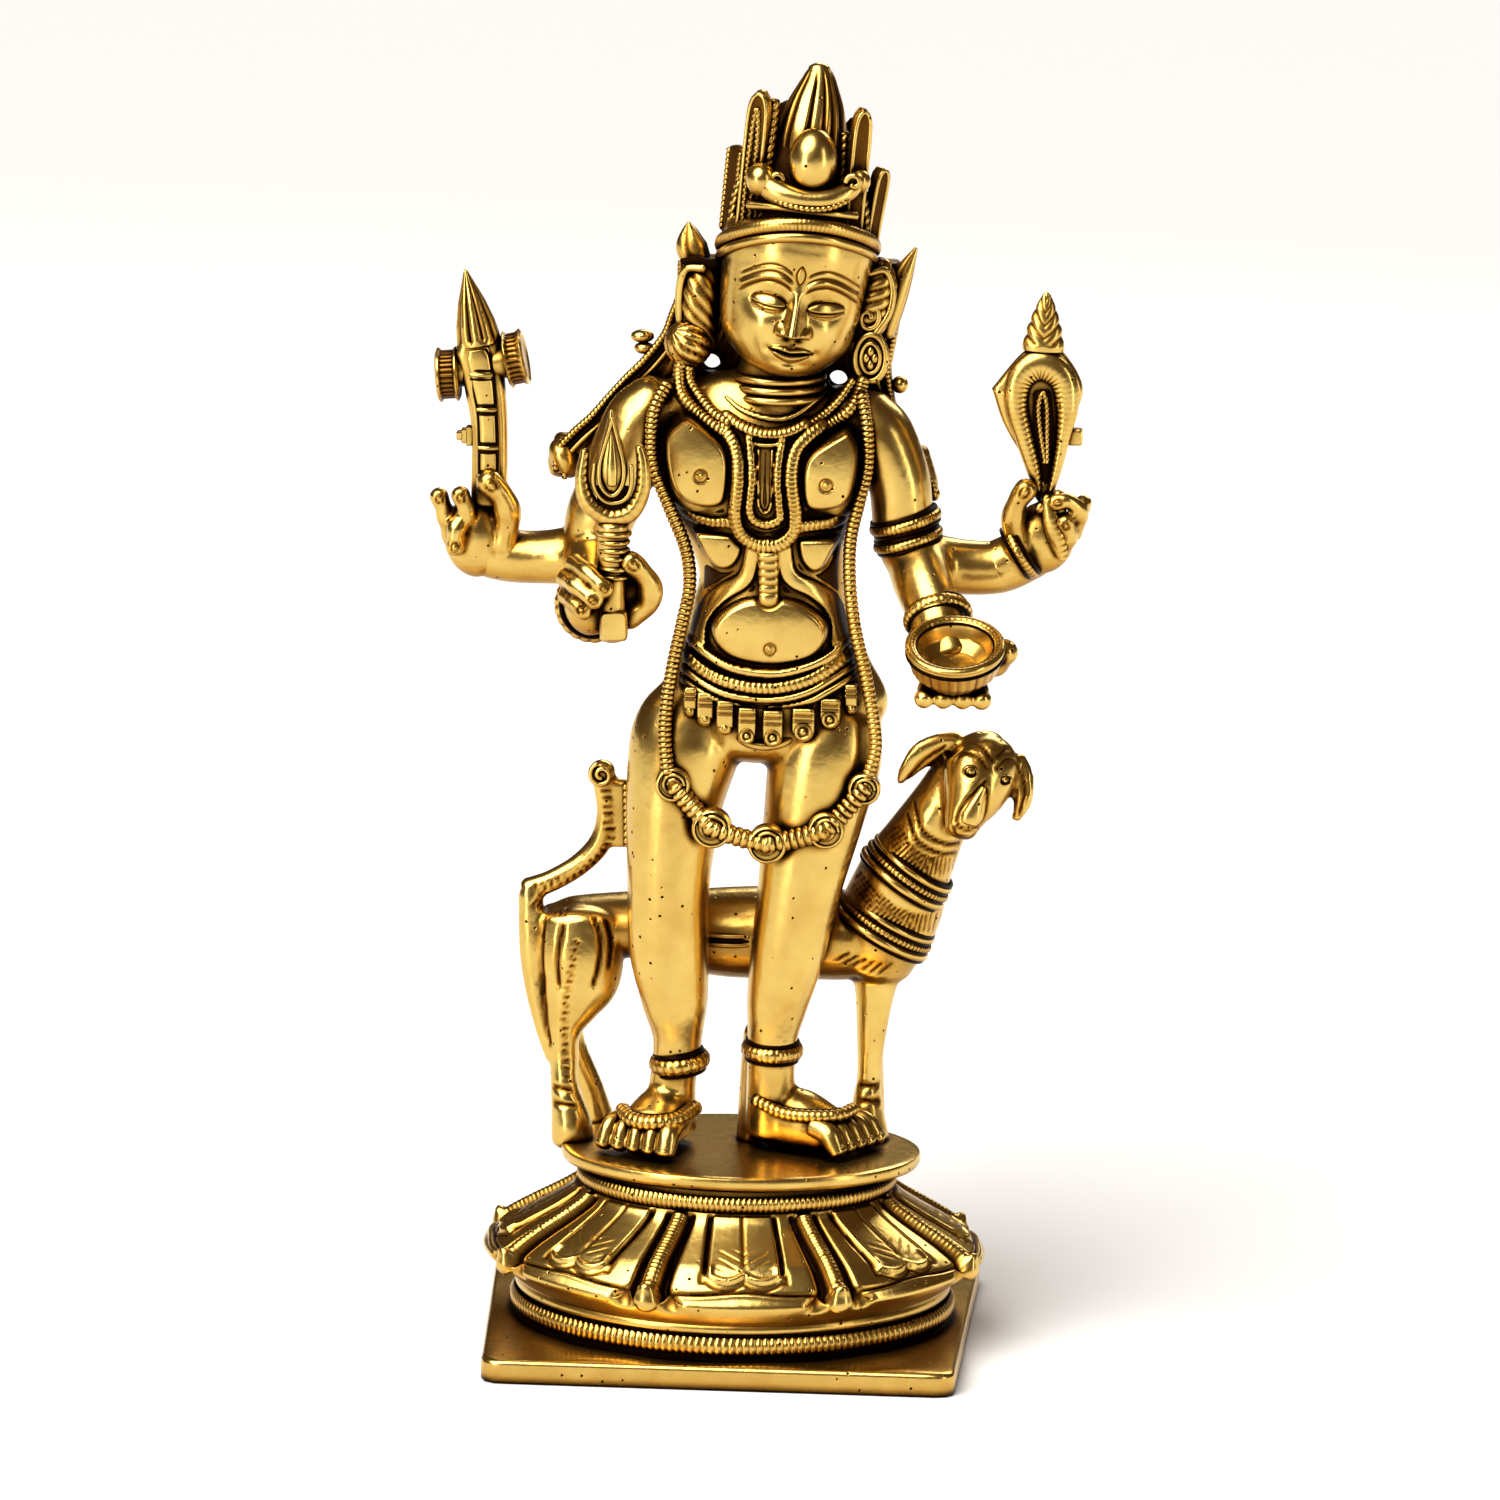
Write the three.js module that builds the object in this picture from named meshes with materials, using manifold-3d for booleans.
// A cast brass temple figure about 254 mm tall: a four-armed standing deity with a dog behind the legs,
// on a footplate of its own, set on an oval lotus pedestal with a rectangular plinth.
// Millimetres, +Z up. The origin is the middle of the plinth's underside and the figure faces -Y.
import * as THREE from "three";
import { mergeVertices } from "three/addons/utils/BufferGeometryUtils.js";
import Module from "manifold-3d";

const wasm = await Module();
wasm.setup();

// Driving dimensions of the whole piece.
const plinth = { frontWidth: 92, backWidth: 98, depth: 84, height: 4.8, corner: 3, edge: 0.8 };
const petalCount = 8;
const petalTurn = 0.08; // the front petal points a little to the viewer's right
const footplate = { x: 1.8, wide: 35.6, deep: 25.6, top: 38.2, rim: 0.7 };
const castGap = 0.3; // between the footplate and the pedestal under it
const soleZ = footplate.top - 0.6; // feet and paws are sunk this far into the plate

const brass = { color: 0xb48a38, roughness: 0.32, metalness: 1 };

// Helpers for shapes

// A geometry's closed mesh as a solid.
function solid(geometry) {
  const bare = geometry.clone();
  bare.deleteAttribute("normal");
  bare.deleteAttribute("uv");
  const merged = mergeVertices(bare, 1e-4);
  const mesh = new wasm.Mesh({
    numProp: 3,
    vertProperties: merged.attributes.position.array,
    triVerts: new Uint32Array(merged.index.array),
  });
  return new wasm.Manifold(mesh);
}

const fuse = (solids) => solids.reduce((sum, next) => sum.add(next));

// Rings of points, all of one length, skinned into a closed solid with a fan over each end.
function skin(rings) {
  const count = rings[0].length;
  const vertices = rings.flat();
  const ends = [rings[0], rings[rings.length - 1]].map((ring) =>
    ring.reduce((sum, p) => sum.add(p), new THREE.Vector3()).divideScalar(count),
  );
  vertices.push(...ends);
  const faces = [];
  for (let i = 0; i < rings.length - 1; i++) {
    for (let j = 0; j < count; j++) {
      const a = i * count + j;
      const b = i * count + ((j + 1) % count);
      faces.push(a, b, b + count, a, b + count, a + count);
    }
  }
  const first = vertices.length - 2;
  const last = (rings.length - 1) * count;
  for (let j = 0; j < count; j++) {
    const k = (j + 1) % count;
    faces.push(first, k, j, first + 1, last + j, last + k);
  }
  const geometry = new THREE.BufferGeometry().setFromPoints(vertices);
  geometry.setIndex(faces);
  return solid(geometry);
}

const mix = (a, b, t) => a.map((v, i) => v + (b[i] - v) * t);
const spread = (count, make) => Array.from({ length: count }, (_, i) => make(i, count > 1 ? i / (count - 1) : 0));
const vector = (list) => new THREE.Vector3(...list.slice(0, 3));

// Stations [x, y, z, wide, deep] with the direction of a smooth line through them.
function stationsAlong(stations) {
  const centres = new THREE.CatmullRomCurve3(stations.map(vector), false, "catmullrom");
  return stations.map((station, i) => ({
    centre: vector(station),
    tangent: centres.getTangent(i / (stations.length - 1)),
    size: new THREE.Vector2(station[3], station[4]),
  }));
}

// An elliptical section across a line: wide lies square to both the line and deepWay, deep along deepWay.
function section({ centre, tangent, size }, sides, deepWay, share = 1, ahead = 0) {
  const wideWay = new THREE.Vector3().crossVectors(deepWay, tangent).normalize();
  const acrossWay = new THREE.Vector3().crossVectors(tangent, wideWay);
  return Array.from({ length: sides }, (_, k) => {
    const angle = ((k + 0.5) / sides) * 2 * Math.PI;
    return centre
      .clone()
      .addScaledVector(tangent, ahead)
      .addScaledVector(wideWay, Math.cos(angle) * size.x * share)
      .addScaledVector(acrossWay, Math.sin(angle) * size.y * share);
  });
}

// A limb: elliptical sections carried along its stations. Its ends are flat, or rounded by a further ring.
function limb(stations, { sides = 8, deepWay = [0, 1, 0], round = 0 } = {}) {
  const way = vector(deepWay);
  const along = stationsAlong(stations);
  const rings = along.map((s) => section(s, sides, way));
  if (round) {
    const endRing = (s, sign) => section(s, sides, way, 0.62, sign * round * Math.min(s.size.x, s.size.y));
    rings.unshift(endRing(along[0], -1));
    rings.push(endRing(along[along.length - 1], 1));
  }
  return skin(rings);
}

// A cord of even section through its points.
function cord(points, radius, { sides = 4, deepWay } = {}) {
  return limb(points.map((p) => [...p, radius, radius]), { sides, deepWay });
}

// Rows of an upright limb with rings standing out of it: each ring is [height, half thickness, how far it stands out].
function ringed(rows, rings) {
  const sorted = [...rows].sort((a, b) => a[2] - b[2]);
  const rowAt = (z, out) => {
    const found = sorted.findIndex((row) => row[2] >= z);
    const i = Math.max(1, found < 0 ? sorted.length - 1 : found);
    const [low, high] = [sorted[i - 1], sorted[i]];
    const row = mix(low, high, (z - low[2]) / (high[2] - low[2]));
    return [row[0], row[1], z, row[3] + out, row[4] + out];
  };
  const added = rings.flatMap(([z, half, out]) => [rowAt(z - half, 0), rowAt(z, out), rowAt(z + half, 0)]);
  const kept = sorted.filter((row) => rings.every(([z, half]) => Math.abs(row[2] - z) > half * 1.4));
  return [...kept, ...added].sort((a, b) => a[2] - b[2]);
}

// A ball squashed to its three half sizes and turned about Y, the way the figure faces.
function ball(centre, halves, { around = 6, rings = 4, lean = 0, pitch = 0 } = {}) {
  const geometry = new THREE.SphereGeometry(1, around, rings);
  geometry.rotateX(Math.PI / 2);
  geometry.scale(...halves);
  geometry.rotateX(pitch);
  geometry.rotateY(lean);
  geometry.translate(...centre);
  return solid(geometry);
}

// A band round a limb: an elliptical ring, level or leaning.
function band(centre, wide, deep, thick, { around = 9, sides = 3, lean = 0, pitch = 0 } = {}) {
  const geometry = new THREE.TorusGeometry(1, thick / wide, sides, around);
  geometry.scale(wide, deep, wide);
  geometry.rotateX(pitch);
  geometry.rotateY(lean);
  geometry.translate(...centre);
  return solid(geometry);
}

// A box turned about Y.
function block(centre, halves, lean = 0) {
  const geometry = new THREE.BoxGeometry(...halves.map((half) => half * 2));
  geometry.rotateY(lean);
  geometry.translate(...centre);
  return solid(geometry);
}

// A flat outline in the XZ plane given a thickness in Y, its middle at depth y.
function plate(outline, y, thick, bevel) {
  const points = outline.map(([x, z]) => new THREE.Vector2(x, z));
  const geometry = new THREE.ExtrudeGeometry(new THREE.Shape(points), {
    depth: thick - 2 * bevel,
    bevelEnabled: true,
    bevelThickness: bevel,
    bevelSize: bevel,
    bevelOffset: -bevel,
    bevelSegments: 1,
    steps: 1,
  });
  geometry.rotateX(Math.PI / 2);
  geometry.translate(0, y + thick / 2 - bevel, 0);
  return solid(geometry);
}

// A turned piece standing on Z: its profile is [radius, height] from the foot up, and leans about Y.
function turned(base, profile, { around = 8, lean = 0, pitch = 0, flat = 1 } = {}) {
  const geometry = new THREE.LatheGeometry(profile.map(([r, h]) => new THREE.Vector2(r, h)), around);
  geometry.rotateX(Math.PI / 2);
  geometry.scale(1, flat, 1);
  geometry.rotateX(pitch);
  geometry.rotateY(lean);
  geometry.translate(...base);
  return solid(geometry);
}

// The lotus pedestal: oval mouldings, eight drooping petals and a rib in each valley between them

const lotus = { top: 35.2, lipZ: 17.4, lipWide: 49.6, lipDeep: 38.6, neckZ: 29, neckWide: 31.8, neckDeep: 25.4 };
// Places round each petal from one rib to the next, closer together by the rib.
const petalShares = [0, 0.08, 0.22, 0.5, 0.78, 0.92];
const lotusShift = { foot: 0.6, top: 1.2 }; // how far the ovals sit to the viewer's right of the plinth's middle

const valleyAngle = (i) => ((i + 0.5) / petalCount) * 2 * Math.PI + petalTurn;

// An oval ring of points round the lotus: a rib stands up in a groove between every two petals, and each
// petal carries a keeled leaf.
function lotusRing({ z, wide, deep, groove = 0, rib = 0, leaf = 0, dip = 0 }) {
  const x = lotusShift.foot + (lotusShift.top - lotusShift.foot) * (z / lotus.top);
  const swells = [rib, -groove, 0, leaf, 0, -groove];
  return spread(petalCount, (i) =>
    petalShares.map((share, k) => {
      const angle = valleyAngle(i) + (share / petalCount) * 2 * Math.PI;
      const fall = dip * Math.max(0, 1 - 4 * Math.min(share, 1 - share));
      return new THREE.Vector3(x + (wide + swells[k]) * Math.cos(angle), (deep + swells[k]) * Math.sin(angle), z - fall);
    }),
  ).flat();
}

// Oval profile of the pedestal from the plinth up.
const lotusProfile = [
  { z: 4, wide: 42, deep: 36.6 },
  { z: 7.6, wide: 44, deep: 38.2 },
  { z: 9.6, wide: 42.6, deep: 37 },
  { z: 14, wide: 44.8, deep: 37.2 },
  { z: lotus.lipZ, wide: lotus.lipWide, deep: lotus.lipDeep, groove: 4.4, rib: -0.4, dip: 0.4 },
  { z: lotus.lipZ + 1.4, wide: lotus.lipWide - 0.9, deep: lotus.lipDeep - 0.8, groove: 4, rib: -0.8, dip: 0.8 },
  { z: 22, wide: 43.6, deep: 34, groove: 1.8, rib: 0.2, leaf: 1.4, dip: 0.6 },
  { z: 25.6, wide: 37.6, deep: 29.6, groove: 1.2, rib: 0.5, leaf: 1.2, dip: 0.2 },
  { z: lotus.neckZ, wide: lotus.neckWide, deep: lotus.neckDeep, groove: 0.6, rib: 0.4, leaf: 0.6 },
  { z: 30.4, wide: 30, deep: 24 },
  { z: 32.8, wide: 31.6, deep: 25.8 },
  { z: lotus.top, wide: 30, deep: 24.2 },
];

// The rectangular slab, a little wider at the back, with rounded corners and edges.
function plinthSolid() {
  const { frontWidth, backWidth, depth, height, corner, edge } = plinth;
  const [front, back, half] = [frontWidth / 2 - edge, backWidth / 2 - edge, depth / 2 - edge];
  const outline = new THREE.Shape();
  outline.moveTo(-front + corner, -half);
  outline.lineTo(front - corner, -half).quadraticCurveTo(front, -half, front + 0.1, -half + corner);
  outline.lineTo(back, half - corner).quadraticCurveTo(back, half, back - corner, half);
  outline.lineTo(-back + corner, half).quadraticCurveTo(-back, half, -back, half - corner);
  outline.lineTo(-front - 0.1, -half + corner).quadraticCurveTo(-front, -half, -front + corner, -half);
  const geometry = new THREE.ExtrudeGeometry(outline, {
    depth: height - 2 * edge,
    bevelThickness: edge,
    bevelSize: edge,
    bevelSegments: 1,
    curveSegments: 4,
  });
  geometry.translate(0, 0, edge);
  return solid(geometry);
}

const lotusPedestal = () => plinthSolid().add(skin(lotusProfile.map(lotusRing)));

// The oval footplate, cast in one with the figure and the dog

function footplateSolid() {
  const { x, wide, deep, top, rim } = footplate;
  const under = lotus.top + castGap;
  const ring = (z, inset) => spread(30, (i) => {
    const angle = (i / 30) * 2 * Math.PI;
    return new THREE.Vector3(x + (wide - inset) * Math.cos(angle), (deep - inset) * Math.sin(angle), z);
  });
  return skin([ring(under, rim), ring((under + top) / 2, 0), ring(top, rim)]);
}

// The standing deity. Rows are [x, y, z, half width, half depth]; left and right are the viewer's.

const torsoRows = [
  [6.3, 0.5, 121.5, 19.5, 9.6],
  [6.2, 0.3, 128, 22.8, 11.2],
  [5.9, 0, 136, 19.4, 11.2],
  [5.6, -0.4, 145, 15.8, 11.2],
  [5.8, 0, 153, 14.2, 10.2],
  [4.9, 0, 161, 15.4, 10.4],
  [3.4, 0, 171, 19.6, 11.2],
  [3.2, 0.6, 180, 20.4, 10.2],
  [4.4, 1, 188, 14, 7.8],
];

const leftLegRows = ringed(
  [
    [-8, 0, 126, 9.4, 9],
    [-9.8, -0.5, 122, 10.7, 9.6],
    [-10.8, -1, 117.5, 10.9, 10],
    [-12.4, -2, 107, 9.5, 9.4],
    [-13.2, -3, 91, 8.1, 8.6],
    [-12.9, -3, 79, 7.9, 8],
    [-11.6, -2, 68, 6.6, 7],
    [-11, -1, 60, 4.9, 5.6],
    [-11.8, -0.4, 51, 4.6, 5],
    [-12.4, 0, 42, 5.6, 5.8],
  ],
  [[55.4, 1.2, 1.4]],
);
const rightLegRows = ringed(
  [
    [19.8, 0, 126, 8.6, 9],
    [17.2, -1, 118, 11, 10],
    [14.8, -2, 105, 9.8, 9.4],
    [12.4, -3, 91, 8.2, 8.4],
    [10.2, -3, 77, 7.2, 7.8],
    [8.6, -2, 68, 6.1, 6.8],
    [7.7, -1, 60, 4.9, 5.6],
    [7.5, 0, 50, 4.8, 5.4],
    [7.8, 1, 42, 5.2, 5.6],
  ],
  [[57, 1.4, 1]],
);
const heelStrutRows = [
  [4.2, 3.5, 61, 2.4, 3],
  [3.8, 5.5, 52, 2.6, 3.4],
  [3.6, 6.5, soleZ, 3, 4],
];

// A foot: instep stations, and where the outermost and innermost toes end.
const leftFoot = {
  rows: [
    [-12.4, 1.5, 43, 5.6, 4.8],
    [-14, -3, 43.2, 6.2, 5.4],
    [-16.6, -8.4, 40.6, 7, 3.2],
  ],
  toes: [[-25, -7.6, 39.8], [-12.8, -14.4, 39.8]],
};
const rightFoot = {
  rows: [
    [8, 1.5, 43, 5, 5.4],
    [13, 0, 44, 5.6, 6.2],
    [20.4, -2, 40.8, 6.4, 3.4],
  ],
  toes: [[22.6, -6.6, 39.8], [28.6, 3, 39.8]],
};

const leftUpperArmRows = [
  [-17.5, 1, 185.5, 6.6, 6.8],
  [-20.8, 0.5, 181.5, 7.2, 7.2],
  [-24.9, 0, 171, 6.9, 6.8],
  [-27.9, 0, 163.4, 6.8, 6.4],
  [-29, 0.5, 157, 6, 6],
];
const rightUpperArmRows = ringed(
  [
    [23.4, 1, 184, 6.3, 6.6],
    [26.4, 0.5, 180.5, 6.7, 7],
    [30, 0, 172.5, 6.1, 6.6],
    [31.4, 0, 162, 6, 6.2],
    [34, 0.5, 156.6, 6.2, 6],
  ],
  [[165.8, 2.2, 0.9]],
);
const drumForearmRows = [
  [-28.6, 1, 156.4, 6.2, 6.2],
  [-38, 2.6, 154.9, 5.3, 5.4],
  [-46, 3, 154.9, 5.2, 5.2],
  [-51.4, 2.8, 156.6, 5.6, 4.8],
];
const nooseForearmRows = [
  [34, 1, 156.4, 6.2, 6.2],
  [42, 2.6, 155.2, 5.5, 5.3],
  [50, 3, 155.4, 5.2, 4.9],
  [56.4, 2.8, 158.4, 5, 4.5],
];
const tridentForearmRows = [
  [-28.6, 0, 157, 5.9, 5.9],
  [-29, -12, 152.4, 5, 5],
  [-28.4, -17, 151, 5, 4.8],
];
const bowlForearmRows = [
  [33.9, 0, 157, 6.2, 6],
  [35.2, -5, 153.8, 6.2, 5.6],
  [37.6, -11, 149, 5.6, 5.1],
  [39.6, -16, 144, 5.2, 4.8],
];

const headTurn = { lean: 0.14, middle: [8.8, -0.8, 207] };
const headRows = [
  [8.2, -4.4, 194, 5.6, 6],
  [8.4, -2.8, 197.4, 9.6, 9.4],
  [8.7, -1.5, 202.5, 12.3, 12],
  [9.2, -0.9, 209, 13.5, 13.3],
  [9.8, -0.5, 215, 13.8, 13.8],
  [10.2, -0.2, 222, 13.9, 13.9],
];
const neckRows = ringed(
  [
    [5.6, 0.6, 187, 8.8, 8],
    [7.4, -0.4, 198, 7.8, 7.8],
  ],
  [[189.6, 1.2, 0.8], [192.4, 1.2, 0.8]],
);

const crown = { x: 9.7, y: 0, z: 220, lean: 0.08, tall: 34.2 };

// A place in the crown's own frame, which leans to the viewer's right.
function onCrown(x, y, z) {
  const place = new THREE.Vector3(x, y, z).applyAxisAngle(new THREE.Vector3(0, 1, 0), crown.lean);
  return [place.x + crown.x, place.y + crown.y, place.z + crown.z];
}

function crownSolid() {
  // The core with the diadem's double band round its foot, tipped up at the front.
  const core = [
    [0, -0.6, -4, 13.2, 13.2],
    [0, -0.2, -2.2, 15, 15],
    [0, 0.1, -0.3, 14, 14],
    [0, 0.4, 1.6, 15.8, 15.6],
    [0, 0.6, 3.6, 12.6, 12.6],
    [0, 0.2, 12, 11.2, 10.8],
    [-0.4, 0, 18, 10.4, 8.6],
    [-0.4, 0, 24.5, 8.2, 6],
  ].map(([x, y, z, w, d]) => [...onCrown(x, y, z), w, d]);
  const parts = [limb(core, { sides: 12 })];
  const bud = [
    [0.4, -2, 11, 5, 5.6],
    [0.5, -1.8, 19, 6.4, 6.4],
    [0.6, -1.2, 25.4, 5.9, 5.4],
    [0.5, -0.4, 30, 3.4, 3.2],
    [0.3, 0, crown.tall - 0.4, 0.5, 0.6],
  ].map(([x, y, z, w, d]) => [...onCrown(x, y, z), w, d]);
  parts.push(limb(bud));
  // Upright leaves round the core: angle from the front, radius, height, half width.
  const leaves = [
    [-1, 12, 28.2, 3.1],
    [1.02, 12.4, 26.4, 3.1],
    [-1.6, 14.4, 16.8, 2.8],
    [1.55, 15.6, 14.4, 2.6],
    [-2.2, 11.4, 25.4, 3.1],
    [2.2, 11.4, 25.4, 3.1],
    [Math.PI, 9.6, 28.4, 3.8],
  ];
  for (const [turn, radius, high, wide] of leaves) {
    const out = [Math.sin(turn), -Math.cos(turn), 0];
    const rows = [
      [radius, 1, wide],
      [radius, high * 0.7, wide],
      [radius - 1, high - 0.8, wide * 0.4],
    ].map(([r, z, w]) => [...onCrown(out[0] * r, out[1] * r, z), w, 1.5]);
    parts.push(limb(rows, { sides: 4, deepWay: out }));
  }
  // A ball cradled in a crescent over the brow.
  parts.push(ball(onCrown(1.9, -10.4, 15.4), [4.3, 4.4, 5.9], { around: 8, rings: 5, lean: crown.lean }));
  const crescent = [
    [-8.4, -10.2, 12.6],
    [-5.6, -12.4, 9.2],
    [1.4, -14, 7.2],
    [7.4, -12, 9.2],
    [10.6, -9.8, 12.8],
  ].map((p) => onCrown(...p));
  parts.push(cord(crescent, 1.9));
  parts.push(ball(onCrown(-8.6, -10.4, 12.6), [2.9, 2.9, 2.9]));
  parts.push(ball(onCrown(11.2, -9.6, 13.2), [2.5, 2.4, 2.7]));
  return fuse(parts);
}

// Brow, lids, nose and lips of a calm, even face on the head's own upright line.
function faceSolids() {
  const parts = [];
  const { lean, middle } = headTurn;
  const spot = (x, y, z) => {
    const place = new THREE.Vector3(x, y, z).applyAxisAngle(new THREE.Vector3(0, 1, 0), lean);
    return [place.x + middle[0], place.y + middle[1], place.z + middle[2]];
  };
  const nose = [
    [0.3, -12.6, 5, 1.1, 1.5],
    [0.3, -14, 0.5, 1.5, 2],
    [0.3, -14.4, -3, 2.5, 2.3],
  ].map(([x, y, z, w, d]) => [...spot(x, y, z), w, d]);
  parts.push(limb(nose, { sides: 5 }));
  parts.push(ball(spot(0.3, -11.6, -7), [4.2, 1.5, 0.9], { lean }));
  parts.push(ball(spot(0.3, -11, -8.8), [3.3, 1.7, 1.1], { lean }));
  for (const side of [-1, 1]) {
    parts.push(ball(spot(side * 5.6, -10.6, 3), [3.6, 2.2, 1.5], { lean }));
    const brow = [
      [side * 1.4, -13.4, 5],
      [side * 5.8, -12.3, 7.4],
      [side * 10.4, -8.9, 5.2],
    ].map((p) => spot(...p));
    parts.push(cord(brow, 0.7));
  }
  return parts;
}

function headSolid() {
  const parts = [limb(headRows, { sides: 12, round: 0.5 }), limb(neckRows)];
  parts.push(...faceSolids(), crownSolid());
  // Ears with scrolls, leaf flames above them, a lotus-bud earring and a disc earring.
  const ears = [
    [[-6.4, 1, 202, 3.8, 3], [-7.4, 1, 208, 5.2, 3.6], [-6.6, 1.5, 216.4, 5, 3.2]],
    [[22.6, 1, 201, 3.4, 3], [24, 1, 207, 4.2, 3.6], [24.4, 1.5, 213, 3.2, 3]],
    [[-11, 2, 206, 3, 2], [-11.8, 2, 214, 3.2, 2.2], [-11.8, 2, 221, 0.8, 0.8]],
    [[26.4, 3, 204, 3, 2.2], [28.4, 3, 210, 2.8, 2], [32, 3, 217.2, 0.5, 0.5]],
  ];
  parts.push(...ears.map((rows) => limb(rows, { sides: 5 })));
  parts.push(ball([-11, -0.6, 197.9], [4.6, 4.4, 4.8], { around: 7, rings: 5, lean: 0.4 }));
  parts.push(ball([24.1, -0.6, 196.8], [3.4, 3, 5.3], { around: 7, rings: 5 }));
  return fuse(parts);
}

// The hair spread behind the head and down to the shoulders, open beside the neck.
function hairSolid() {
  const outline = [
    [-11.6, 214], [-16.6, 199.6], [-21.6, 197.8], [-21.2, 195], [-38, 174.8], [-38.4, 171.2], [-35, 168.8], [-28, 173],
    [31, 172], [36.8, 166.8], [38, 169.4], [28.8, 186.4], [30.8, 190], [27.6, 193], [31.2, 211],
  ];
  const fan = plate(outline, 8.6, 6.4, 1.6);
  const gaps = [[-7.2, 193.4, 2], [17.6, 190.8, 2.1]].map(([x, z, radius]) => {
    const hole = new THREE.CylinderGeometry(radius, radius, 40, 6);
    hole.translate(x, 0, z);
    return solid(hole);
  });
  const nape = ball([6.6, 9, 198], [8.4, 5, 18], { around: 7, rings: 5 });
  return gaps.reduce((sum, gap) => sum.subtract(gap), fan.add(nape));
}

// A hand: a palm, fingers curled round what it holds, and a thumb.
function hand(palm, fingers, thumb, width = 1.5) {
  const parts = [ball(palm.at, palm.halves, { lean: palm.lean ?? 0 })];
  for (const points of fingers) parts.push(cord(points, width, { deepWay: [0.3, 1, 0.2] }));
  parts.push(cord(thumb, width * 1.35, { deepWay: [0, 1, 0.2] }));
  return fuse(parts);
}

// Rear arms: the hourglass drum on its staff at the left, the noose on its plate at the right.

function drumSolid() {
  const axisLean = -0.22; // the drum's axis rises to the viewer's right
  const across = (radius, length, x, z, lean, around) => {
    const roll = new THREE.CylinderGeometry(radius, radius, length, around);
    roll.rotateZ(Math.PI / 2);
    roll.rotateY(lean);
    roll.translate(x, 0.4, z);
    return solid(roll);
  };
  return fuse([
    limb([[-49.8, 0.4, 167, 3.5, 2.8], [-49.9, 0.4, 188, 3.5, 2.8]], { sides: 6 }),
    limb([[-51.7, -0.4, 187, 3.2, 3.2], [-51.8, -0.4, 197.4, 3.9, 3.4]], { sides: 6 }),
    turned([-51.9, 0.4, 197], [[0, 0], [4.4, 0], [4.2, 3], [2.3, 9], [0, 14.8]], { lean: -0.2 }),
    across(5.2, 4.2, -57.9, 190.8, axisLean * 0.4, 9),
    across(5.5, 3.8, -44.8, 194.3, axisLean, 9),
    across(3.4, 13, -51.3, 192.8, axisLean, 6),
    block([-54.2, 0.4, 178.9], [1.6, 1.4, 1.6], Math.PI / 4),
  ]);
}

function nooseSolid() {
  const outline = [
    [47.6, 190.8], [53, 197.6], [57.2, 200], [61.4, 198], [65.2, 191], [62.4, 183], [60.4, 173], [57.4, 173], [50.6, 183],
  ];
  const loop = [
    [[59, 169], [53.6, 179.6], [51.8, 188.4], [53.8, 195.4], [57.8, 197.4]],
    [[59, 169], [61.4, 179.6], [63.4, 188.4], [61.6, 195.2], [57.4, 197.4]],
  ].map((side) => cord(side.map(([x, z]) => [x, -0.2, z]), 2));
  return fuse([
    plate(outline, 1.2, 2.6, 0.5),
    ...loop,
    turned([57.3, 0.4, 197], [[0, 0], [4.2, 0.6], [3.2, 5], [0, 13]], { flat: 0.6, lean: 0.04, around: 6 }),
    block([63.2, 1, 181.8], [1.9, 1.4, 1.6]),
    cord([[59, -1.4, 171], [60.4, -2.6, 163], [61.8, -2, 157]], 1.7),
  ]);
}

function rearArmsSolid() {
  const drumHand = hand(
    { at: [-52.8, 1.8, 158.8], halves: [6.4, 4.6, 8.4], lean: -0.15 },
    [
      [[-58.6, -1.4, 166.6], [-55.8, -2.6, 156.6]],
      [[-57, -0.8, 167.4], [-53.2, -2.2, 163.6]],
      [[-57, 2, 159], [-60.4, 0.8, 168.4]],
    ],
    [[-46.8, 0.4, 158.6], [-46.6, -1.6, 164.4], [-49.4, -2.6, 169.4]],
    1.6,
  );
  const nooseHand = hand(
    { at: [58, 1.8, 160.8], halves: [5.8, 4.2, 7.6], lean: 0.2 },
    [
      [[63, 0.2, 161], [61.6, -2.2, 170]],
      [[61.8, 2.4, 161], [66.8, 1.6, 169.4]],
    ],
    [[53.6, -0.2, 159.6], [52.2, -2.4, 166.4], [54.6, -2.8, 172]],
    1.6,
  );
  return fuse([
    limb(drumForearmRows, { sides: 8 }),
    limb(nooseForearmRows, { sides: 8 }),
    drumHand, nooseHand, drumSolid(), nooseSolid(),
  ]);
}

// Front arms: the trident stood up in the left hand, the bowl resting on the fingers of the right.

function tridentSolid() {
  const y = -24;
  const prongs = [
    [-29.9, y, 180], [-29.9, y, 173.4], [-27.2, y, 168.6], [-20.4, y, 168.6], [-17.6, y, 173.4], [-18.6, y, 181],
  ];
  return fuse([
    turned([-23.6, y, 143.4], [[0, 0], [2.7, 0], [2.5, 13], [3.2, 17], [3, 25], [0, 26]], { around: 6 }),
    limb([[-23.4, y, 166, 2.4, 1.8], [-23.4, y, 175, 3.4, 2], [-24.7, y, 188.8, 0.5, 0.5]], { sides: 6 }),
    cord(prongs, 1.8),
  ]);
}

const bowl = { at: [42.3, -25.4, 142], outer: 9.3, inner: 7.4, tall: 8, deep: 5.2, tilt: 0.42 };

function bowlSolid() {
  const { at, outer, inner, tall, deep, tilt } = bowl;
  const profile = [
    [0, -tall / 2], [outer * 0.62, -tall / 2], [outer * 0.92, -tall * 0.15],
    [outer, tall / 2], [inner, tall / 2 - 0.2], [inner * 0.66, tall / 2 - deep], [0, tall / 2 - deep],
  ];
  return turned(at, profile, { around: 12, pitch: tilt });
}

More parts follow.
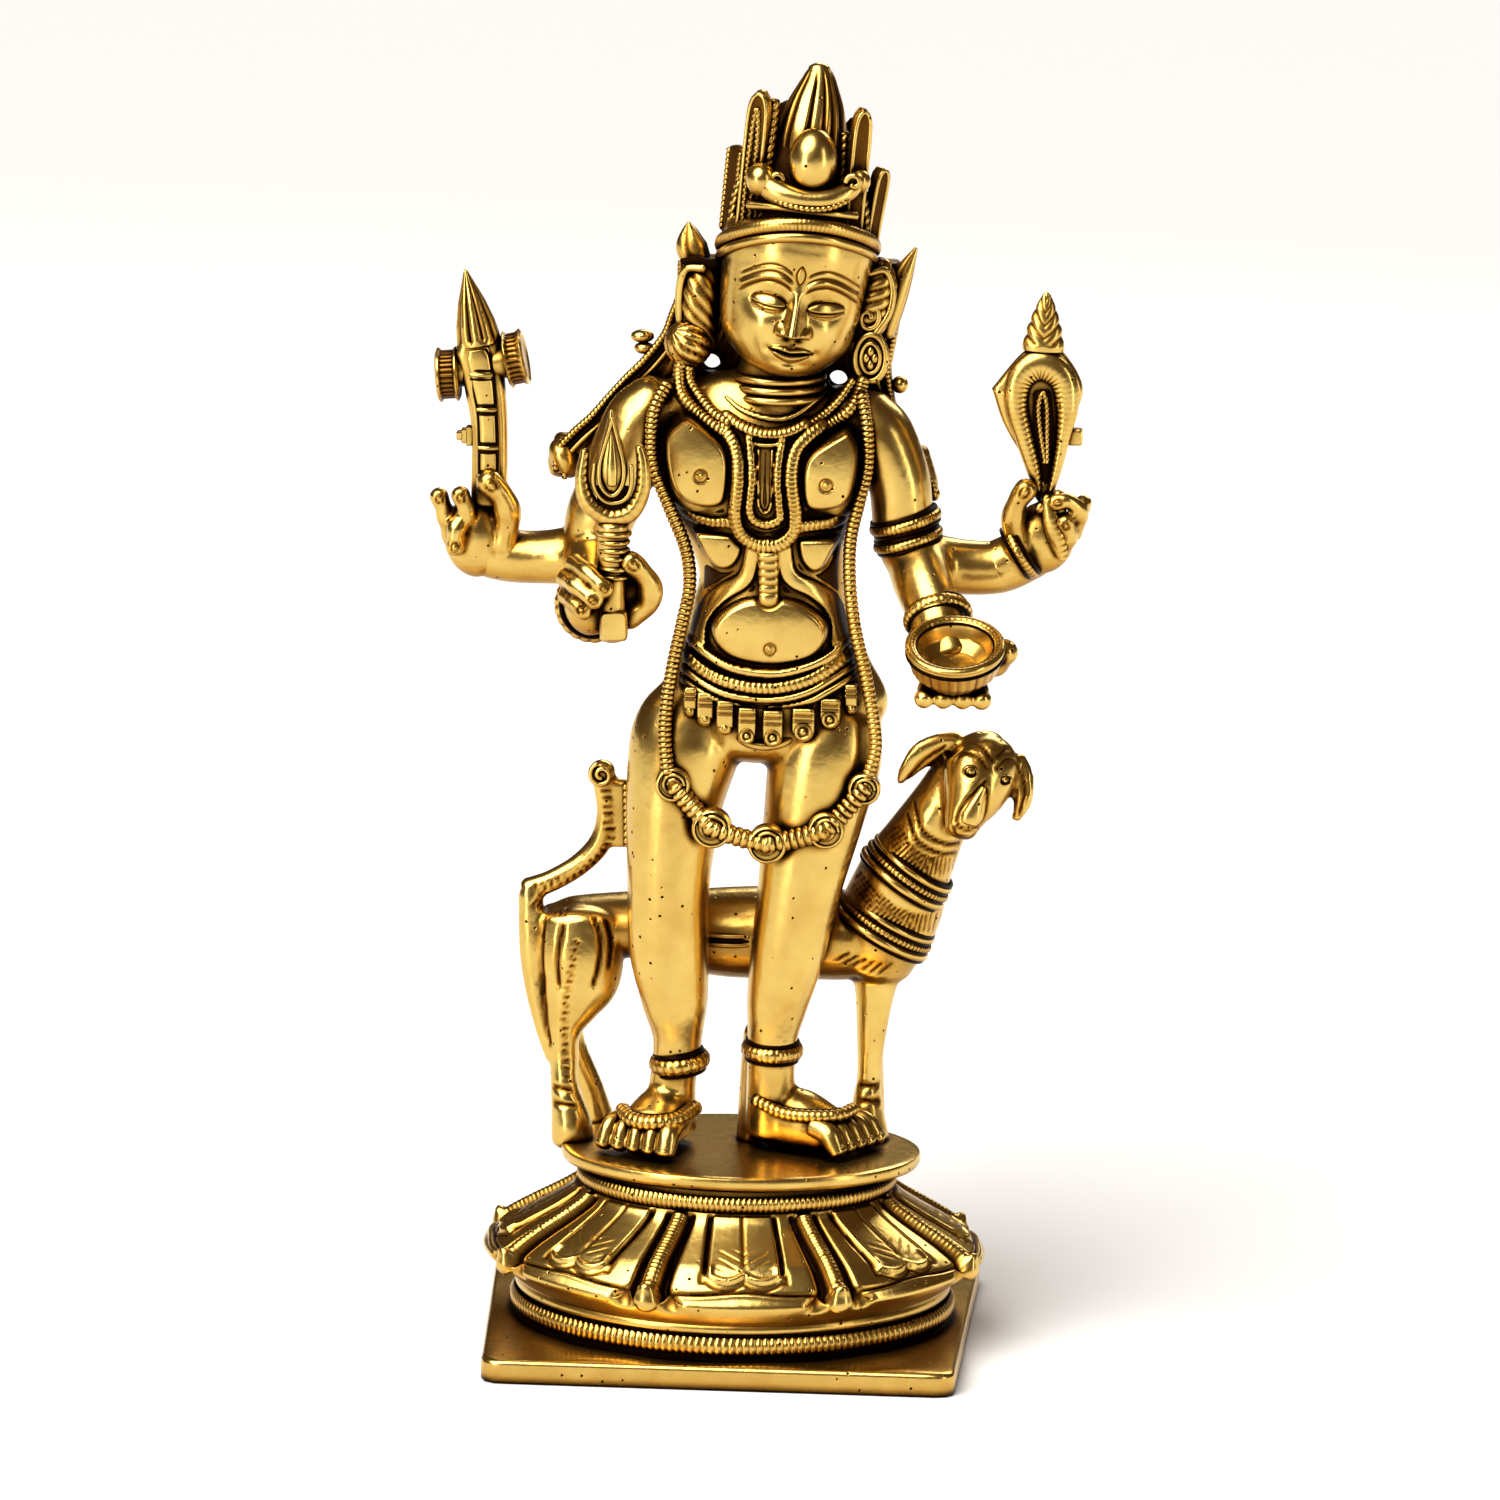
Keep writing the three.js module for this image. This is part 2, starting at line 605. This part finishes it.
function frontArmsSolid() {
  const tridentHand = hand(
    { at: [-27.6, -20, 150.4], halves: [5.4, 5, 6.6] },
    [154, 150.6, 147.2].map((z) => [[-30.6, -25, z], [-23.6, -27.6, z - 1.4]]),
    [[-21.6, -20.6, 146], [-17.4, -22.6, 152], [-20.2, -24.6, 158]],
    1.7,
  );
  const bowlHand = hand(
    { at: [41.4, -20.6, 137.6], halves: [6.6, 6.4, 3.4] },
    spread(4, (i) => [[37.4 + i * 2.8, -22, 136.4], [35.6 + i * 3.8, -30.4, 135.2]]),
    [[47, -19, 139.6], [52.4, -22, 143.6]],
    1.5,
  );
  return fuse([
    limb(tridentForearmRows, { sides: 8, deepWay: [0, 0, 1] }),
    limb(bowlForearmRows, { sides: 8, deepWay: [0, 1, 0.5] }),
    tridentHand, bowlHand, tridentSolid(), bowlSolid(),
  ]);
}

// What the body wears, lying on its front.

// How far forward the body's front is at a place across and up, with a lift off the skin.
function bodyFront(x, z, lift = 0) {
  const above = torsoRows.findIndex((row) => row[2] > z);
  const i = above < 1 ? (above === 0 ? 1 : torsoRows.length - 1) : above;
  const share = THREE.MathUtils.clamp((z - torsoRows[i - 1][2]) / (torsoRows[i][2] - torsoRows[i - 1][2]), 0, 1);
  const [cx, cy, , wide, deep] = mix(torsoRows[i - 1], torsoRows[i], share);
  const across = THREE.MathUtils.clamp((x - cx) / wide, -0.97, 0.97);
  return cy - deep * Math.sqrt(1 - across * across) - lift;
}

// A cord laid on the body's front through places [x, z].
const laid = (places, radius, lift = 0.5) =>
  cord(places.map(([x, z]) => [x, bodyFront(x, z, lift), z]), radius);

const sash = [
  [
    [-16.4, -5, 190], [-17.4, -7.4, 182], [-17.2, -7.4, 174], [-12, -8, 162], [-9, -8, 152],
    [-11, -9, 142], [-13.4, -9.8, 132], [-14, -11, 124], [-13.2, -12, 115.4],
  ],
  [
    [22.6, -5, 190], [24, -7, 183], [24, -7.4, 173], [20.6, -8, 163.6], [19.8, -8, 155],
    [22.6, -9, 144.6], [26, -9.2, 134], [27, -10, 124], [25.6, -10.6, 115.6],
  ],
];
const garlandBosses = [[-12.2, -12, 113.4], [-4.4, -12.6, 105], [6.4, -12.8, 102.2], [17.8, -12.4, 105.2], [25, -11, 113.4]];

const necklaces = [
  { radius: 1.2, places: [[-8.4, 192], [-4, 187.8], [1.2, 183.6], [6.2, 182.4], [12.8, 183.8], [20.4, 189.6]] },
  {
    radius: 1.5,
    places: [[-12.6, 190], [-2.4, 181.2], [-1.2, 176], [-1.2, 166.4], [1.2, 161.2], [5, 159.8], [8.8, 161.2],
      [11.2, 166], [10.8, 176], [12.8, 180.6], [21.6, 188.4]],
  },
  { radius: 1.3, places: [[-11.6, 165.6], [-1.6, 165.2]] },
  { radius: 1.3, places: [[11.6, 164.8], [20.6, 166.4]] },
  { radius: 1.3, places: [[2.8, 158.4], [1.6, 153.6], [-7, 148], [-8.4, 138.6]] },
  { radius: 1.3, places: [[8.4, 158.4], [9.4, 153.6], [18, 148.4], [20.2, 139.4]] },
];

function dressSolids() {
  const garland = garlandBosses.slice(1).map((boss, i) => [garlandBosses[i], boss]);
  const parts = [...sash.map((line) => cord(line, 1.6)), ...garland.map((line) => cord(line, 2.1))];
  parts.push(...garlandBosses.map((boss) => ball(boss, [3.2, 3, 3.2], { around: 5 })));
  parts.push(...necklaces.map(({ places, radius }) => laid(places, radius)));
  parts.push(block([5.7, -11, 154.6], [1.6, 1.8, 4.6]));
  // The chest in two low domes, and the belly's dome inside the parted bands.
  parts.push(ball([-7.6, -6.6, 173.6], [8.6, 6, 9.2]));
  parts.push(ball([17, -6.4, 173], [6.8, 5.4, 8.8]));
  parts.push(ball([6.2, -6.6, 142.4], [11.8, 6.6, 7.6], { around: 8, rings: 5 }));
  // Belt of two rows with a fringe of tabs.
  const beltRow = (z, sag, radius) =>
    laid([-10.6, -3, 6, 15, 23].map((x, i) => [x, z - sag * [0, 0.8, 1, 0.8, 0][i]]), radius, 0.7);
  parts.push(beltRow(139.2, 5.2, 1.6), beltRow(135.4, 4.6, 1.5));
  parts.push(...spread(8, (i, share) => {
    const x = -7.6 + 28.6 * share;
    const z = 129.3 - 3.4 * Math.sin(Math.PI * share);
    return block([x, bodyFront(x, z, -0.2), z], [1.4, 1.2, 2.8]);
  }));
  return parts;
}

function footSolid({ rows, toes }) {
  const ballOfFoot = rows[rows.length - 1];
  const big = toes[0][0] < 0 ? 4 : 0;
  const toeSolids = spread(5, (i, share) => {
    const tip = mix(toes[0], toes[1], share);
    const root = mix(tip, ballOfFoot, 0.6);
    return cord([[root[0], root[1], tip[2] + 0.8], tip], i === big ? 1.9 : 1.5, { sides: 3, deepWay: [0, 0, 1] });
  });
  return fuse([limb(rows, { sides: 6, deepWay: [0, 0, 1] }), ...toeSolids]);
}

function deitySolid() {
  const parts = [
    limb(torsoRows, { sides: 12 }),
    limb(leftLegRows),
    limb(rightLegRows),
    limb(heelStrutRows, { sides: 5 }),
    limb(leftUpperArmRows, { round: 0.8 }),
    limb(rightUpperArmRows, { round: 0.8 }),
    footSolid(leftFoot),
    footSolid(rightFoot),
    headSolid(),
    hairSolid(),
    rearArmsSolid(),
    frontArmsSolid(),
    ...dressSolids(),
  ];
  return fuse(parts);
}

// The dog behind the legs, its head turned to the viewer over its own left shoulder.

const dogBarrelRows = [
  [-37, 10.4, 78, 6, 5.6],
  [-32, 11.6, 78, 8.4, 7],
  [-20, 13, 79.4, 8.6, 6.6],
  [-4, 13.2, 78.4, 9, 8.8],
  [10, 12.8, 78.8, 9.8, 9.2],
  [22, 11.6, 78.8, 10, 8.8],
  [28.2, 10.6, 78.6, 8, 7],
];
const dogNeckRows = [
  [27, 11, 75, 8.2, 8],
  [28.8, 9.8, 81, 9.8, 9.2],
  [31, 8.6, 87, 9.8, 9.2],
  [33.2, 7.4, 93.4, 8.9, 8.8],
  [36.4, 6.4, 100, 7.6, 8],
  [40, 6, 107, 6.4, 7.4],
  [43, 6, 113, 5.6, 6.4],
];
const dogHeadRows = [
  [45.4, 5.6, 118.4, 4.8, 5],
  [45.8, 3, 115.4, 6.4, 6.6],
  [45, 0, 111, 5.6, 6],
  [43.6, -2.6, 107, 3.9, 4.4],
  [42.8, -4, 104.4, 3, 3.2],
];
const dogEars = [
  [[40, 4, 119.6, 1.4, 1.8], [36, 3, 117.6, 1.4, 2.5], [32.8, 2.4, 114.2, 1.2, 2], [31.2, 2, 112.2, 0.7, 0.9]],
  [[51.6, 4.4, 117.4, 1.2, 1.6], [53, 3, 114, 1.3, 2], [53.2, 2, 110, 1.2, 1.9], [52.2, 1.6, 107, 0.7, 0.9]],
];
const dogTailRows = [
  [-41.6, 8.6, 87, 2.2, 2.4],
  [-37, 8.2, 88.8, 2.2, 2.2],
  [-31.4, 8, 92.4, 2.2, 2.2],
  [-27.4, 7.8, 97, 2.3, 2.3],
  [-26, 7.6, 103, 2.2, 2.2],
  [-26.8, 7.6, 109, 2.2, 2.2],
];
const dogLegRows = {
  nearHind: [
    [-31, 7.6, 81, 8.4, 5.2],
    [-31.8, 6.8, 75, 8.9, 5.4],
    [-33.4, 6, 67.5, 7.4, 4.8],
    [-35.8, 5.2, 61, 4.6, 3.8],
    [-37.8, 4.4, 53, 2.7, 3],
    [-37, 2.8, 45, 2.9, 3.2],
    [-35, 1.6, soleZ, 3.9, 4.2],
  ],
  farHind: [
    [-31, 17.4, 76, 6, 4],
    [-36.6, 18.4, 62, 3.4, 3.4],
    [-37.6, 18.8, 54, 2.6, 2.8],
    [-32, 19.6, soleZ, 3, 3.2],
  ],
  nearFront: [
    [26.6, 9.6, 75, 5, 4.8],
    [25.9, 9.4, 66, 3.3, 3.6],
    [25.5, 9.4, 51, 2.5, 2.8],
    [26, 9, 45, 3.4, 3.8],
    [27, 8.4, soleZ, 3.8, 4.2],
  ],
  farFront: [
    [27, 16.6, 76, 4.4, 4],
    [27.2, 17.6, 58, 2.5, 2.8],
    [28, 17.6, soleZ, 3, 3.4],
  ],
};
// The strap hanging behind the near hind leg.
const dogStrapRows = [[-41.2, 8, 86, 2.6, 2.2], [-41.8, 7, 76, 2.8, 2.2], [-41, 6.4, 66, 2.4, 2], [-38.8, 5, 52, 1.6, 1.6]];
const dogCollars = [
  [[33.4, 7.4, 93.2], 8.9, 9.2, 1.5, 0.6],
  [[29.2, 9.4, 82.2], 9.7, 9.6, 1.5, 0.52],
];

function dogSolid() {
  const parts = [
    limb(dogBarrelRows, { deepWay: [0, 0, 1], round: 0.5 }),
    limb(dogNeckRows),
    limb(dogHeadRows, { deepWay: [0, 1, 0.4], round: 0.6 }),
    limb(dogTailRows, { sides: 4 }),
    ball([-27.2, 7.4, 111.2], [2.7, 2.6, 2.6]),
    ...dogEars.map((rows) => limb(rows, { sides: 4, deepWay: [0.5, 0, 1] })),
    ...Object.values(dogLegRows).map((rows) => limb(rows, { sides: 6 })),
    limb(dogStrapRows, { sides: 4 }),
    block([-24, 7, 101.5], [3, 1.2, 8.5]),
    ...dogCollars.map(([at, wide, deep, thick, lean]) => band(at, wide, deep, thick, { lean })),
  ];
  return fuse(parts);
}

// A named piece from a solid.
function piece(name, manifold) {
  const mesh = manifold.getMesh();
  const geometry = new THREE.BufferGeometry();
  geometry.setAttribute("position", new THREE.BufferAttribute(new Float32Array(mesh.vertProperties), 3));
  geometry.setIndex(new THREE.BufferAttribute(new Uint32Array(mesh.triVerts), 1));
  geometry.computeVertexNormals();
  const part = new THREE.Mesh(geometry, new THREE.MeshStandardMaterial(brass));
  part.name = name;
  return part;
}

const statue = new THREE.Group();
statue.add(piece("deity_and_dog", fuse([footplateSolid(), deitySolid(), dogSolid()])));
statue.add(piece("lotus_pedestal", lotusPedestal()));

export default statue;
